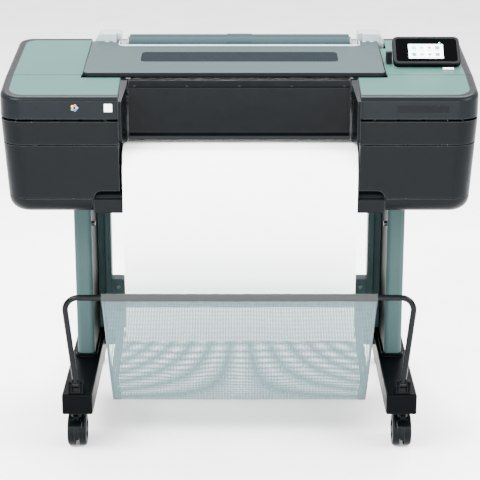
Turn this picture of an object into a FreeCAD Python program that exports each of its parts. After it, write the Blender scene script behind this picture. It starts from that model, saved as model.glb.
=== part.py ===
import FreeCAD, Part
import math
import os

# Large format roll-fed plotter on a wheeled stand. Millimetres, +Z up, front towards -Y, origin on
# the floor under the middle of the machine. The machine is mirrored about X = 0, so most sub-parts
# are built once, for the right-hand side (+X), and mirrored for the left.

# ---- driving dimensions -------------------------------------------------------------------------
BODY_W = 1220.0            # across the two end modules
BODY_FRONT = -215.0        # front face of the end modules
BODY_REAR = 275.0          # rear face of the housing
MODULE_INNER = 307.0       # inner wall of an end module
WALL = 3.0                 # moulded cover thickness
TOP_WALL = 7.0             # top wall, thick enough to take the inlaid panels
GAP = 2.0                  # seam between two covers

BASE_Z = 617.0             # underside of the housing
BASE_TOP = 656.0           # seam between base cover and lower cover
LOWER_TOP = 798.0          # seam between lower cover and middle cover
MID_TOP = 861.0            # top of the middle cover
INK_BOTTOM = 868.0         # lower edge of the lifting ink cover, a finger gap above MID_TOP
SEAM_Y = -65.0             # hinge line between ink cover and rear cover
TOP_FRONT_Z, TOP_SEAM_Z, TOP_REAR_Z = 923.0, 951.0, 986.0

PAPER_X = (-299.5, 303.5)   # edges of the printed sheet
PAPER_T = 1.2
LEG_X0, LEG_X1 = 394.0, 441.0
LEG_Y0, LEG_Y1 = -84.0, 130.0
RIB_X0, RIB_X1 = 358.0, 377.0   # slim column inside each leg
RIB_Y0, RIB_Y1 = 105.0, 150.0
FOOT_X0, FOOT_X1 = 379.0, 457.0
FOOT_HALF = 360.0          # half of the foot's length along Y
FOOT_Z0, FOOT_Z1 = 116.0, 176.0
CASTER_X = 427.0
CASTER_Y = (-297.0, 289.0) # stems of the front and rear casters
CASTER_TRAIL = 26.0        # the wheels trail behind the stem
WHEEL_R, WHEEL_W, HOOD_W = 42.0, 18.0, 11.0
BAR_R = 7.5                # paper bin's tube
BIN_PIVOT = (-335.0, 196.0)
BIN_TOP = (-345.0, 436.0)
COVER_X = (-407.0, 381.0)   # left and right edges of the centre top cover
ROLL_AXIS = (235.0, 938.0)
ROLL_R = 50.0
HOOD_HINGE = (293.0, 957.5)
V = FreeCAD.Vector


# ---- small helpers ------------------------------------------------------------------------------
def rounded(points, radii):
    """Closed planar wire through the points, each corner rounded by its radius (0 keeps it sharp)."""
    pts = [V(*p) for p in points]
    n = len(pts)
    if not isinstance(radii, (list, tuple)):
        radii = [radii] * n
    spans = []
    for i, p in enumerate(pts):
        a, b, r = (pts[i - 1] - p), (pts[(i + 1) % n] - p), radii[i]
        a.normalize()
        b.normalize()
        if r <= 0:
            spans.append((p, p, None))
            continue
        half = a.getAngle(b) / 2
        reach = r / math.tan(half)
        bis = a + b
        bis.normalize()
        mid = p + bis * (r / math.sin(half) - r)
        spans.append((p + a * reach, p + b * reach, mid))
    edges = []
    for i in range(n):
        start, end, mid = spans[i]
        if mid is not None:
            edges.append(Part.Arc(start, mid, end).toShape())
        following = spans[(i + 1) % n][0]
        if end.distanceToPoint(following) > 1e-6:
            edges.append(Part.LineSegment(end, following).toShape())
    return Part.Wire(edges)


def extrude(wire, vector):
    return Part.Face(wire).extrude(V(*vector))


def prism_x(profile_yz, x0, x1, radii=0):
    return extrude(rounded([(x0, y, z) for y, z in profile_yz], radii), (x1 - x0, 0, 0))


def prism_z(outline_xy, z0, z1, radii=0):
    return extrude(rounded([(x, y, z0) for x, y in outline_xy], radii), (0, 0, z1 - z0))


def box(x0, x1, y0, y1, z0, z1):
    return Part.makeBox(x1 - x0, y1 - y0, z1 - z0, V(x0, y0, z0))


def rod_x(x0, x1, y, z, r):
    return Part.makeCylinder(r, x1 - x0, V(x0, y, z), V(1, 0, 0))


def mirrored(shape):
    return shape.mirror(V(0, 0, 0), V(1, 0, 0))


def soften(shape, radius, pick):
    """Fillets the edges for which pick(edge) is true."""
    edges = [e for e in shape.Edges if pick(e)]
    return shape.makeFillet(radius, edges)


def along(edge, direction, tolerance=0.999):
    """True for a straight edge that runs along a direction."""
    if edge.Curve.TypeId != "Part::GeomLine":
        return False
    d = edge.tangentAt(edge.FirstParameter)
    return abs(d.dot(V(*direction))) > tolerance


def export(name, shape):
    solids = shape.Solids
    if not solids:
        raise ValueError(name + " has no solid")
    for s in solids:
        if not s.isValid() or s.Volume <= 0:
            raise ValueError(name + " has a bad solid")
    out = solids[0] if len(solids) == 1 else Part.makeCompound(solids)
    out.exportStep("parts/%s.step" % name)


def export_pair(name, shape):
    export("right_" + name, shape)
    export("left_" + name, mirrored(shape))


# ---- end modules --------------------------------------------------------------------------------
def top_line(y):
    """Height of the module's top face at a depth: two planes that meet at the ink cover's hinge."""
    if y < SEAM_Y:
        return TOP_FRONT_Z + (TOP_SEAM_Z - TOP_FRONT_Z) * (y - BODY_FRONT) / (SEAM_Y - BODY_FRONT)
    return TOP_SEAM_Z + (TOP_REAR_Z - TOP_SEAM_Z) * (y - SEAM_Y) / (BODY_REAR - SEAM_Y)


def module(inset, edge_round):
    """Outer body of the right-hand end module, moved inwards by inset all round."""
    half = BODY_W / 2
    drop = 0.0 if inset == 0 else TOP_WALL
    taper_side, taper_front, taper_z = 15.0, 8.0, MID_TOP

    def plan(z, side, front):
        x0, x1 = MODULE_INNER + inset, half - side - inset
        y0, y1 = BODY_FRONT + front + inset, BODY_REAR - front - inset
        corners = [(x0, y0, z), (x1, y0, z), (x1, y1, z), (x0, y1, z)]
        return rounded(corners, [0, 58 - inset, 40 - inset, 0])

    upper = extrude(plan(taper_z, 0, 0), (0, 0, 200))
    lower = Part.makeLoft([plan(BASE_Z + inset, taper_side, taper_front), plan(taper_z, 0, 0)], True, True)
    lower = soften(lower, 38 - inset, lambda e: at_outer_bottom(e, inset))
    side = [(BODY_FRONT - 5, BASE_Z - 5), (BODY_REAR + 5, BASE_Z - 5)]
    side += [(y, top_line(y) - drop) for y in (BODY_REAR + 5, SEAM_Y, BODY_FRONT - 5)]
    body = upper.fuse(lower).removeSplitter().common(prism_x(side, 200, 700))
    if edge_round:
        body = soften(body, edge_round, at_outer_top)
    return body


def at_outer_bottom(edge, inset):
    box_ = edge.BoundBox
    flat = box_.ZLength < 0.01 and abs(box_.ZMin - BASE_Z - inset) < 0.01
    return flat and box_.XMax > MODULE_INNER + inset + 1


def at_outer_top(edge):
    box_ = edge.BoundBox
    on_side = box_.XMax > BODY_W / 2 - 60 or along(edge, (1, 0, 0))
    above = box_.ZMin > TOP_FRONT_Z - 20 and box_.ZLength < 60
    middle = along(edge, (1, 0, 0)) and abs(box_.YMin - SEAM_Y) < 1
    return above and on_side and not middle and not along(edge, (0, 0, 1))


def slab(z0, z1, y0=-400, y1=400, x0=200, x1=700):
    return box(x0, x1, y0, y1, z0, z1)


TOP_PANELS = []
OUTER = module(0.0, 13.0)
INNER = module(WALL, 0.0)
APRON_X, APRON_Z = 374.0, 676.0


def apron_zone(grow=0.0):
    """Room that the centre apron takes out of the module's inner lower corner."""
    x1, z1 = APRON_X + grow, APRON_Z + grow
    corners = [(200, -300, 600), (x1, -300, 600), (x1, -300, z1), (200, -300, z1)]
    return extrude(rounded(corners, [0, 0, 24, 0]), (0, 660, 0))


COVER_FLOOR = 15.0         # how far the top cover's underside lies below its top face


def cover_line(y):
    """Height of the centre top cover's upper face at a depth."""
    return 959.0 + (y + 80.0) * (987.0 - 959.0) / 305.0


def cover_zone(x0, x1, y0, y1, z_below, z_above):
    """Wedge between two planes parallel to the top cover's face."""
    profile = [(y0, cover_line(y0) - z_below), (y1, cover_line(y1) - z_below)]
    profile += [(y1, cover_line(y1) + z_above), (y0, cover_line(y0) + z_above)]
    return prism_x(profile, x0, x1)


def ring(z0, z1):
    return OUTER.cut(INNER).common(slab(z0, z1))


def end_covers():
    passage = slab(BASE_TOP + 4, 946, -120, 262, 200, MODULE_INNER + WALL + 1)
    leg_hole = leg_plan(1.0, BASE_Z - 5, BASE_TOP)
    base = ring(BASE_Z, BASE_TOP).cut(apron_zone(GAP)).cut(leg_hole)
    lower = ring(BASE_TOP + GAP, LOWER_TOP).cut(apron_zone(GAP)).cut(passage)
    mid = ring(LOWER_TOP + GAP + 1, MID_TOP)
    tray = box(330, 585, -204, -80, LOWER_TOP + GAP + 1, LOWER_TOP + GAP + 4)
    tray = tray.common(INNER)
    ties = [box(x, x + 6, -214, -196, LOWER_TOP + GAP + 1, LOWER_TOP + GAP + 14).common(OUTER)
            for x in (350, 450, 550)]
    mid = mid.fuse(tray).fuse(ties).removeSplitter().cut(passage)
    export_pair("base_cover", base)
    export_pair("lower_cover", lower)
    export_pair("middle_cover", mid)


def panel_zone(y0, y1, grow, depth):
    """Inlaid coloured panel in the module's top face, between two depths."""
    edge = 23.0
    x1 = BODY_W / 2 - edge
    plan = [(MODULE_INNER + 2, y0), (x1, y0), (x1, y1), (MODULE_INNER + 2, y1)]
    plan = [(x + (grow if x > 500 else -grow), y + (grow if y == y1 else -grow)) for x, y in plan]
    front_round = 42.0 if y0 < SEAM_Y - 50 else 0.0
    rear_round = 30.0 if y1 > SEAM_Y + 50 else 0.0
    column = prism_z(plan, 850, 1100, [0, front_round, rear_round, 0])
    low = prism_x([(y0 - 5, top_line(y0 - 5) - depth), (y1 + 5, top_line(y1 + 5) - depth),
                   (y1 + 5, 1100), (y0 - 5, 1100)], 200, 700)
    return column.common(low)


def hinge_line(x0, x1, bored, side):
    """Slim knuckle in the seam between two covers, on a leaf fixed to the cover on one side of it."""
    y, z = SEAM_Y, TOP_SEAM_Z - 1.0
    low = box(x0, x1, *sorted((y + side * 0.9, y + side * 1.6)), z - 5.5, z - 2.2)
    high = box(x0, x1, *sorted((y + side * 0.9, y + side * 1.4)), z - 2.7, z)
    knuckle = rod_x(x0, x1, y, z, 1.2).fuse([low, high])
    return knuckle.cut(rod_x(x0 - 1, x1 + 1, y, z, 0.75)) if bored else knuckle


def top_covers():
    for name, lid_edge, place in (("right", COVER_X[1], lambda s: s), ("left", -COVER_X[0], mirrored)):
        shell = OUTER.cut(INNER)
        ink = shell.common(slab(INK_BOTTOM, 1100, -400, SEAM_Y - 1.5))
        rear = shell.common(slab(MID_TOP + GAP, 1100, SEAM_Y + 1.5, 400))
        lid_zone = cover_zone(200, lid_edge + 2, -82, 400, COVER_FLOOR + 3, 80)
        lid_swing = box(200, lid_edge + 4, -84, 0, INK_BOTTOM - 5, 1000)
        deck_zone = box(200, 400, 168, 400, MID_TOP, 1100)
        passage = slab(BASE_TOP, 946, -120, 262, 200, MODULE_INNER + WALL + 1)
        rear = rear.cut(Part.makeCompound([lid_zone])).cut(passage).cut(deck_zone)
        ink = ink.cut(lid_swing)
        ink = ink.cut(panel_zone(BODY_FRONT + 20, SEAM_Y + 5, 0.3, 2.8)).fuse(hinge_line(442, 538, True, -1))
        rear = rear.cut(panel_zone(SEAM_Y - 5, BODY_REAR - 28, 0.3, 2.8))
        rear = rear.fuse([hinge_line(422, 441.5, False, 1), hinge_line(538.5, 558, False, 1),
                          rod_x(430, 550, SEAM_Y, TOP_SEAM_Z - 1.0, 0.7)])
        front_panel_ = panel_zone(BODY_FRONT + 20, SEAM_Y - 1.5, 0, 2.6).common(OUTER).cut(lid_swing)
        rear_panel = panel_zone(SEAM_Y + 1.5, BODY_REAR - 28, 0, 2.6).common(OUTER)
        rear_panel = rear_panel.cut(lid_zone).cut(deck_zone)
        export(name + "_ink_cover", place(ink.removeSplitter()))
        export(name + "_rear_cover", place(rear.removeSplitter()))
        export(name + "_ink_panel", place(front_panel_))
        TOP_PANELS.append(place(rear_panel))
    export("top_panels", Part.makeCompound(TOP_PANELS))


# ---- centre section -----------------------------------------------------------------------------
PANEL_X = 286.0            # half width of the front panel, between the two side brackets


def side_brackets():
    profile = [(-223, 806), (-223, 915), (-104, 945), (-86, 945), (-86, 941), (SEAM_Y - 2, 941)]
    profile += [(SEAM_Y - 2, 792), (-150, 792)]
    fin = prism_x(profile, 290, MODULE_INNER - 1, [24, 3, 0, 0, 0, 0, 0, 0])
    wedge = prism_z([(288, -110), (299, -230), (288, -230)], 780, 960)
    fin = fin.cut(wedge)
    export("side_brackets", Part.makeCompound([fin, mirrored(fin)]))


def front_panel():
    skin = [(-104, 947), (-125, 931), (-128, 812), (-139, 806), (-140, 796), (-124, 796)]
    skin += [(-122, 806), (-121, 927), (-104, 940)]
    panel = prism_x(skin, -PANEL_X, PANEL_X, [2, 8, 4, 2, 2, 0, 0, 4, 0])
    ribs = [box(x - 2, x + 2, -123, -108, 806, 934) for x in (-270, -135, 0, 135, 270)]
    panel = panel.fuse(ribs).removeSplitter()
    export("front_panel", panel)


def output_apron():
    front = [(-206, BASE_Z), (-206, 652), (-200, 657), (-197, APRON_Z - 12), (-186, APRON_Z)]
    front += [(-90, APRON_Z), (-90, BASE_Z)]
    block = prism_x(front, -APRON_X, APRON_X, [4, 3, 3, 6, 4, 0, 0])
    face = [(-APRON_X, BASE_Z - 1), (APRON_X, BASE_Z - 1), (APRON_X, APRON_Z), (-APRON_X, APRON_Z)]
    block = block.common(extrude(rounded([(x, -220, z) for x, z in face], [0, 0, 22, 22]), (0, 200, 0)))
    hollow = box(-APRON_X + 4, APRON_X - 4, -194, -94, BASE_Z - 1, APRON_Z - 16)
    block = block.cut(hollow)
    guide = [(-186, APRON_Z - 2), (-190, 700), (-186, 738), (-168, 766), (-138, 778)]
    guide += [(-124, 779), (-124, 773), (-150, 764), (-172, 735), (-176, APRON_Z - 2)]
    curve = prism_x(guide, -299, 299, [0, 30, 30, 30, 8, 0, 0, 20, 20, 0])
    ends = [box(x0, x0 + 6, -182, -130, APRON_Z - 2, 742) for x0 in (-305, 299)]
    export("output_apron", block.fuse([curve] + ends).removeSplitter())


def back_panel():
    outer = box(-MODULE_INNER + 1, MODULE_INNER - 1, 236, BODY_REAR, BASE_Z + 2, 870)
    inner = box(-MODULE_INNER + 4, MODULE_INNER - 4, 230, BODY_REAR - 3, BASE_Z + 5, 900)
    vents = []
    for row in range(4):
        for column in range(-9, 10):
            x, z = column * 26.0, 690 + row * 12.0
            vents.append(box(x - 9, x + 9, BODY_REAR - 5, BODY_REAR + 5, z, z + 5))
    socket = box(240 - 16.1, 240 + 16.1, BODY_REAR - 5, BODY_REAR + 5, 672 - 12.1, 672 + 12.1)
    export("back_panel", outer.cut(inner).cut(Part.makeCompound(vents)).cut(socket))


def top_cover():
    """The lifting centre cover with its notch for the rear deck, and its tinted window."""
    rear = COVER_REAR
    left, right = COVER_X
    zone = cover_zone(left, right, -80, rear, COVER_FLOOR - 1, 0)
    corners = [(left, -80), (right, -80), (right, rear), (left, rear)]
    outline = prism_z(corners, 900, 1050, [16, 16, 4, 4])
    lid = zone.common(outline)
    lid = soften(lid, 5.0, lambda e: along(e, (1, 0, 0)) and e.BoundBox.YMax < -79)
    pocket = cover_zone(left + 5, right - 5, -75, rear - 5, COVER_FLOOR + 5, -4)
    notch = prism_z([(-DECK_X - 2, DECK_Y0 - 2), (DECK_X + 2, DECK_Y0 - 2), (DECK_X + 2, 300),
                     (-DECK_X - 2, 300)], 900, 1050, [24, 24, 0, 0])
    notch_rim = prism_z([(-DECK_X - 6, DECK_Y0 - 6), (DECK_X + 6, DECK_Y0 - 6), (DECK_X + 6, 300),
                         (-DECK_X - 6, 300)], 900, 1050, [28, 28, 0, 0])
    lid = lid.cut(pocket.cut(notch_rim)).cut(notch)
    hole = window_outline(0.3).common(cover_zone(left, right, -80, rear, 60, 60))
    ledge = window_outline(-6).common(cover_zone(left, right, -80, rear, 60, 60))
    seat = window_outline(0.3).common(cover_zone(left, right, -80, rear, 2.2, 60))
    lid = lid.cut(seat).cut(ledge)
    rim = window_outline(6).cut(window_outline(-6)).common(cover_zone(left, right, -80, rear, 7, -2.2))
    lid = lid.fuse(rim.common(hole)).removeSplitter()
    hy, hz = COVER_HINGE
    for side in (-1, 1):
        a, b = sorted((349.0 * side, 359.0 * side))
        barrel = rod_x(a, b, hy, hz, 4.0).fuse(box(a, b, hy - 9, hy + 1, hz - 3, hz + 1.5))
        room = [box(*sorted((x0 * side, x1 * side)), hy - 6, rear + 4, hz - 30, hz + 12)
                for x0, x1 in ((337.5, 349.0), (359.0, 370.5))]
        lid = lid.cut(Part.makeCompound(room)).fuse([barrel, rod_x(a - 8.5, b + 8.5, hy, hz, 2.0)])
    lid = lid.removeSplitter()
    export("top_cover", lid)
    export("top_cover_window", window_outline(0).common(cover_zone(left, right, -80, rear, 2.0, 0)))


COVER_REAR = 222.0
COVER_HINGE = (216.0, 981.6)
WINDOW_X, WINDOW_Y0, WINDOW_Y1 = 262.0, 22.0, 112.0
DECK_X, DECK_Y0 = 331.0, 172.0


def window_outline(grow):
    x, y0, y1 = WINDOW_X + grow, WINDOW_Y0 - grow, WINDOW_Y1 + grow
    return prism_z([(-x, y0), (x, y0), (x, y1), (-x, y1)], 900, 1050, [14 + grow] * 4)


def rear_deck():
    """Light grey deck round the roll, with the two raised blocks whose saddles carry the spindle."""
    y_axis, z_axis = ROLL_AXIS
    front_plate = cover_zone(-DECK_X, DECK_X, DECK_Y0, 225, 5, -1)
    front_plate = front_plate.common(prism_z([(-DECK_X, DECK_Y0), (DECK_X, DECK_Y0), (DECK_X, 300),
                                              (-DECK_X, 300)], 900, 1050, [22, 22, 0, 0]))
    trough_outer = box(-DECK_X, DECK_X, DECK_Y0 + 2, BODY_REAR + 12, 870, 966)
    trough_inner = box(-DECK_X + 3, DECK_X - 3, DECK_Y0 + 5, BODY_REAR + 9, 873, 990)
    feed_slot = box(-312, 312, DECK_Y0 - 5, DECK_Y0 + 8, 880, 906)
    bore = rod_x(-DECK_X + 3, DECK_X - 3, y_axis, z_axis, 64.5)
    deck = front_plate.fuse(trough_outer.cut(trough_inner)).cut(bore)
    lip = front_plate.cut(rod_x(-500, 500, y_axis, z_axis, 64.5))
    deck = deck.fuse(lip).cut(feed_slot)
    block = [(DECK_X - 3, 872), (DECK_X - 3, 1004), (384, 1004), (398, 987), (398, 872)]
    tower = extrude(rounded([(x, 226.5, z) for x, z in block], [0, 6, 8, 4, 0]), (0, 76.5, 0))
    tower_hollow = box(DECK_X + 14, 390, 230, 299, 876, 976)
    tower = tower.cut(tower_hollow)
    hy, hz = COVER_HINGE
    for x in (340, 360):
        ear = rod_x(x, x + 8, hy, hz, 4.0).fuse(box(x, x + 8, hy, 228, hz - 4, hz + 2))
        tower = tower.fuse(ear.cut(rod_x(x - 1, x + 9, hy, hz, 2.05)))
    tower = tower.cut(rod_x(DECK_X - 10, DECK_X + 8, *HOOD_HINGE, 3.05))
    towers = tower.fuse(mirrored(tower))
    slot_low = rod_x(-DECK_X - 9, DECK_X + 9, y_axis, z_axis, 9.05)
    slot_up = box(-DECK_X - 9, DECK_X + 9, y_axis - 9.05, y_axis + 9.05, z_axis, 1010)
    deck = deck.fuse(towers).cut(slot_low).cut(slot_up).removeSplitter()
    export("rear_deck", deck)


def roll_and_spindle():
    y, z = ROLL_AXIS
    shaft = rod_x(-DECK_X - 7, DECK_X + 7, y, z, 9.0)
    hubs = []
    for side in (-1, 1):
        flange = rod_x(min(304 * side, 308 * side), max(304 * side, 308 * side), y, z, 57)
        boss = rod_x(min(308 * side, 324 * side), max(308 * side, 324 * side), y, z, 51)
        plug = rod_x(min(270 * side, 304 * side), max(270 * side, 304 * side), y, z, 24.9)
        hubs.append(flange.fuse([boss, plug]))
    export("roll_spindle", shaft.fuse(hubs).removeSplitter())
    roll = rod_x(-302, 302, y, z, ROLL_R).cut(rod_x(-303, 303, y, z, 25.0))
    export("paper_roll", roll)


def roll_cover():
    """Tinted hood over the roll, hinged along its rear edge."""
    y, z = ROLL_AXIS
    half = 302.0
    tube = rod_x(-half, half, y, z, 64.0).cut(rod_x(-half - 1, half + 1, y, z, 61.0))
    keep = prism_x([(y - 46, z + 42), (y - 10, z + 90), (y + 90, z + 90), (y + 90, z + 16),
                    (y + 30, z + 16)], -400, 400)
    hood = tube.common(keep).fuse(rod_x(-DECK_X - 2, DECK_X + 2, *HOOD_HINGE, 3.0))
    grip = rod_x(-34, 34, y, z, 65.5).cut(rod_x(-35, 35, y, z, 62)).common(
        prism_x([(y - 46, z + 41), (y - 20, z + 90), (y + 40, z + 90), (y + 24, z + 48)], -40, 40))
    hood = hood.fuse(grip).removeSplitter()
    export("roll_cover", hood)


# ---- touch screen -------------------------------------------------------------------------------
SCREEN_X0, SCREEN_X1 = 405.6, 583.6
SCREEN_HINGE = (41.0, 982.4)
SCREEN_TILT = 37.0


def tilted(shape):
    return shape.rotate(V(0, SCREEN_HINGE[0], SCREEN_HINGE[1]), V(1, 0, 0), SCREEN_TILT)


def touch_screen():
    """Panel modelled flat with its hinge at the middle, then tilted towards the operator."""
    y, z = SCREEN_HINGE
    plan = [(SCREEN_X0, y - 49), (SCREEN_X1, y - 49), (SCREEN_X1, y + 49), (SCREEN_X0, y + 49)]
    case = prism_z(plan, z + 6, z + 20, 15)
    case = soften(case, 3.0, lambda e: e.BoundBox.ZMin > z + 19)
    pocket_plan = [(x + (8 if x < 450 else -8), yy + (8 if yy < y else -8)) for x, yy in plan]
    pocket = prism_z(pocket_plan, z + 17.5, z + 30, 9)
    glass_plan = [(x + (8.2 if x < 450 else -8.2), yy + (8.2 if yy < y else -8.2)) for x, yy in plan]
    glass = prism_z(glass_plan, z + 17.5, z + 19.8, 8.8)
    lug = box(470, 516, y - 5, y + 5, z, z + 8).fuse(rod_x(470, 516, y, z, 5.4))
    lug = lug.cut(rod_x(460, 526, y, z, 3.05))
    export("screen_housing", tilted(case.cut(pocket).fuse(lug).removeSplitter()))
    export("screen_glass", tilted(glass))
    floor = top_line(y)
    foot = prism_x([(y - 18, floor - 1.7), (y + 18, floor + 2.0), (y + 18, floor + 6), (y - 18, floor + 4)], 440, 546)
    ears = [box(x, x + 10, y - 5.4, y + 5.4, floor + 4, z).fuse(rod_x(x, x + 10, y, z, 5.4)) for x in (458, 518)]
    pin = rod_x(458, 528, y, z, 3.0)
    arm = foot.fuse(ears + [pin]).removeSplitter()
    side = [(y - 16, top_line(y - 16) + 0.3), (y - 7, z + 10), (y + 12, z + 10), (y + 18, top_line(y + 18) + 0.3)]
    cheek = prism_x(side, 389.5, 404.5, [0, 7, 9, 0])
    export("screen_bracket", Part.makeCompound([arm, cheek]))


# ---- paper path, carriage and drive -------------------------------------------------------------
PLATEN_Z = 784.0
FEED_AXIS = (58.0, 770.0)
FEED_R = 14.5
RAIL_YZ = (40.0, 872.0)
PULLEY_R, PULLEY_X, BELT_Y, BELT_Z = 12.0, 545.0, 10.0, 872.0


def chassis_beam():
    outer = box(-470, 470, -50, 232, BASE_TOP + 6, 690)
    inner = box(-480, 480, -46, 228, BASE_TOP + 10, 686)
    shell = outer.cut(inner)
    y, z = FEED_AXIS
    bearings = [box(x - 3, x + 3, y - 12, y + 12, 688, z + 12) for x in (-333, 333)]
    bearings = [b.cut(rod_x(-400, 400, y, z, 5.05)) for b in bearings]
    posts = [box(x - 4, x + 4, 60, 140, 690, 860) for x in (-560, 560)]
    arms = [box(min(470 * s, 564 * s), max(470 * s, 564 * s), 60, 140, 686, 690) for s in (-1, 1)]
    land = box(396, 439, -46, LEG_Y1 - 4, 640, BASE_TOP + 6)
    land = land.fuse(box(RIB_X0 + 1, RIB_X1 - 1, RIB_Y0 + 2, RIB_Y1 - 2, 640, BASE_TOP + 6))
    lands = [land, mirrored(land)]
    clevis = []
    for side in (-1, 1):
        x0 = min(556 * side, 564 * side)
        clevis.append(box(x0, x0 + 8, 28, 140, 858, 884))
    export("chassis_beam", shell.fuse(posts + arms + lands + clevis + bearings).removeSplitter())


def platen():
    bed = box(-299, 299, -121, 40, PLATEN_Z - 10, PLATEN_Z)
    ribs = [box(x - 3, x + 3, -115, 36, 694, PLATEN_Z - 10) for x in (-280, -140, 0, 140, 280)]
    slots = [box(-290, 290, y, y + 4, PLATEN_Z - 2, PLATEN_Z + 1) for y in (-100, -70, -40, -10)]
    shelf = box(-284, 284, -50, 20, 690, 694)
    export("platen", bed.fuse(ribs).fuse(shelf).cut(Part.makeCompound(slots)).removeSplitter())


def feed_roller():
    y, z = FEED_AXIS
    shaft = rod_x(-340, 340, y, z, 5.0)
    tyres = [rod_x(x - 32, x + 32, y, z, FEED_R) for x in (-255, -170, -85, 0, 85, 170, 255)]
    roller = shaft.fuse(tyres)
    pulley = rod_x(318, 326, y, z, 22).fuse([rod_x(316, 318, y, z, 25), rod_x(326, 328, y, z, 25)])
    export("feed_roller", roller.fuse(pulley).removeSplitter())


def carriage_and_rail():
    y, z = RAIL_YZ
    rail = rod_x(-555, 555, y, z, 8.0)
    export("carriage_rail", rail)
    x0, x1 = 400.0, 520.0
    body = prism_x([(-58, 800), (-58, 862), (-36, 880), (24, 880), (24, 800)], x0, x1, [4, 8, 8, 4, 4])
    sleeve = rod_x(x0 + 10, x1 - 10, y, z, 13.0).fuse(box(x0 + 10, x1 - 10, 20, y, z - 8, z + 8))
    body = body.fuse(sleeve).cut(rod_x(300, 600, y, z, 8.06))
    belt_slot = box(x0 - 1, x1 + 1, BELT_Y - 6, BELT_Y + 6, BELT_Z - 20, BELT_Z + 30)
    heads = [box(x0 + 16 + 34 * k, x0 + 38 + 34 * k, -52, -4, 794, 800) for k in range(3)]
    body = body.cut(belt_slot).fuse(heads).removeSplitter()
    export("carriage", body)


def belt_drive():
    r_in, r_out = PULLEY_R + 0.3, PULLEY_R + 2.0

    def track(r, w):
        """Racetrack round both pulleys, w wide along Y."""
        mid = box(-PULLEY_X, PULLEY_X, BELT_Y - w, BELT_Y + w, BELT_Z - r, BELT_Z + r)
        ends = [Part.makeCylinder(r, 2 * w, V(x, BELT_Y - w, BELT_Z), V(0, 1, 0)) for x in (-PULLEY_X, PULLEY_X)]
        return mid.fuse(ends).removeSplitter()

    export("drive_belt", track(r_out, 3.0).cut(track(r_in, 4.0)))
    for name, x in (("idler_pulley", -PULLEY_X), ("motor_pulley", PULLEY_X)):
        wheel = Part.makeCylinder(PULLEY_R, 8, V(x, BELT_Y - 4, BELT_Z), V(0, 1, 0))
        rims = [Part.makeCylinder(PULLEY_R + 3, 1.5, V(x, BELT_Y + s, BELT_Z), V(0, 1, 0)) for s in (-5.5, 4)]
        spokes = Part.makeCylinder(2.2, 20, V(x + 6, BELT_Y - 10, BELT_Z), V(0, 1, 0))
        axle = Part.makeCylinder(3, 18, V(x, BELT_Y - 7, BELT_Z), V(0, 1, 0))
        export(name, wheel.fuse(rims + [axle]).cut(spokes).removeSplitter())


def ink_cartridges():
    floor = LOWER_TOP + GAP + 4.2
    one = prism_x([(-196, floor), (-196, 884), (-186, 900), (-92, 900), (-92, floor)], 0, 56, [3, 4, 4, 3, 3])
    grip = box(14, 42, -190, -180, 898, 906)
    one = one.fuse(grip).removeSplitter()
    right = [one.translated(V(x, 0, 0)) for x in (345, 408, 471)]
    export("ink_cartridges", Part.makeCompound(right + [mirrored(s) for s in right]))


def strip_x(line, radii, thick, x0, x1):
    """Bent sheet of even thickness: a polyline of (y, z) with rounded bends, thickened to its left."""
    steps = []
    for (ya, za), (yb, zb) in zip(line, line[1:]):
        length = math.hypot(yb - ya, zb - za)
        steps.append(((yb - ya) / length, (zb - za) / length))
    other, other_radii = [], []
    for i, (y, z) in enumerate(line):
        into, out = steps[max(i - 1, 0)], steps[min(i, len(steps) - 1)]
        share = 1 + into[0] * out[0] + into[1] * out[1]
        other.append((y - thick * (into[1] + out[1]) / share, z + thick * (into[0] + out[0]) / share))
        turn = into[0] * out[1] - into[1] * out[0]
        bent = radii[i] - thick if turn > 0 else radii[i] + thick
        other_radii.append(bent if radii[i] > 0 else 0)
    outline = [(x0, y, z) for y, z in line + other[::-1]]
    return extrude(rounded(outline, radii + other_radii[::-1]), (x1 - x0, 0, 0))


def printed_sheet():
    """The sheet that leaves the platen, rolls over the guide and hangs into the bin."""
    line = [(183, 925), (183, 905), (150, 856), (106, 786), (-146, 786), (-186, 777), (-209, 735)]
    line += [(-212, 640), (-206, 480), (-180, 256)]
    radii = [0, 20, 300, 60, 60, 30, 60, 300, 500, 0]
    export("printed_sheet", strip_x(line, radii, PAPER_T, *PAPER_X))


# ---- stand --------------------------------------------------------------------------------------
def feet():
    z0, z1 = FOOT_Z0, FOOT_Z1
    side = [(-FOOT_HALF, z0 + 6), (-FOOT_HALF, z1), (FOOT_HALF, z1), (FOOT_HALF, z0 + 6), (FOOT_HALF - 26, z0)]
    side += [(-FOOT_HALF + 26, z0)]
    foot = prism_x(side, FOOT_X0, FOOT_X1, [4, 5, 5, 4, 6, 6])
    foot = soften(foot, 4, lambda e: along(e, (0, 1, 0)) and e.BoundBox.ZMin > z1 - 1)
    collar = leg_plan(6, z1 - 2, z1 + 8)
    shoe = prism_z([(RIB_X0 - 7, RIB_Y0 - 12), (FOOT_X0 + 4, RIB_Y0 - 12), (FOOT_X0 + 4, RIB_Y1 + 12),
                    (RIB_X0 - 7, RIB_Y1 + 12)], z0 + 24, z1, [10, 0, 0, 10])
    recess = leg_plan(0.1, z1 - 20, z1 + 20)
    hollow = box(FOOT_X0 + 5, FOOT_X1 - 5, -FOOT_HALF + 90, FOOT_HALF - 90, z0 - 1, z1 - 26)
    foot = foot.fuse([collar, shoe]).cut(recess).cut(hollow)
    for y in CASTER_Y:
        foot = foot.cut(Part.makeCylinder(5.55, 34, V(CASTER_X, y, z0 - 1), V(0, 0, 1)))
    export_pair("foot", foot.removeSplitter())


def upright(x0, x1, y0, y1, grow, z0, z1, radius):
    corners = [(x0 - grow, y0 - grow), (x1 + grow, y0 - grow), (x1 + grow, y1 + grow), (x0 - grow, y1 + grow)]
    return prism_z(corners, z0, z1, radius + grow)


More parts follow.
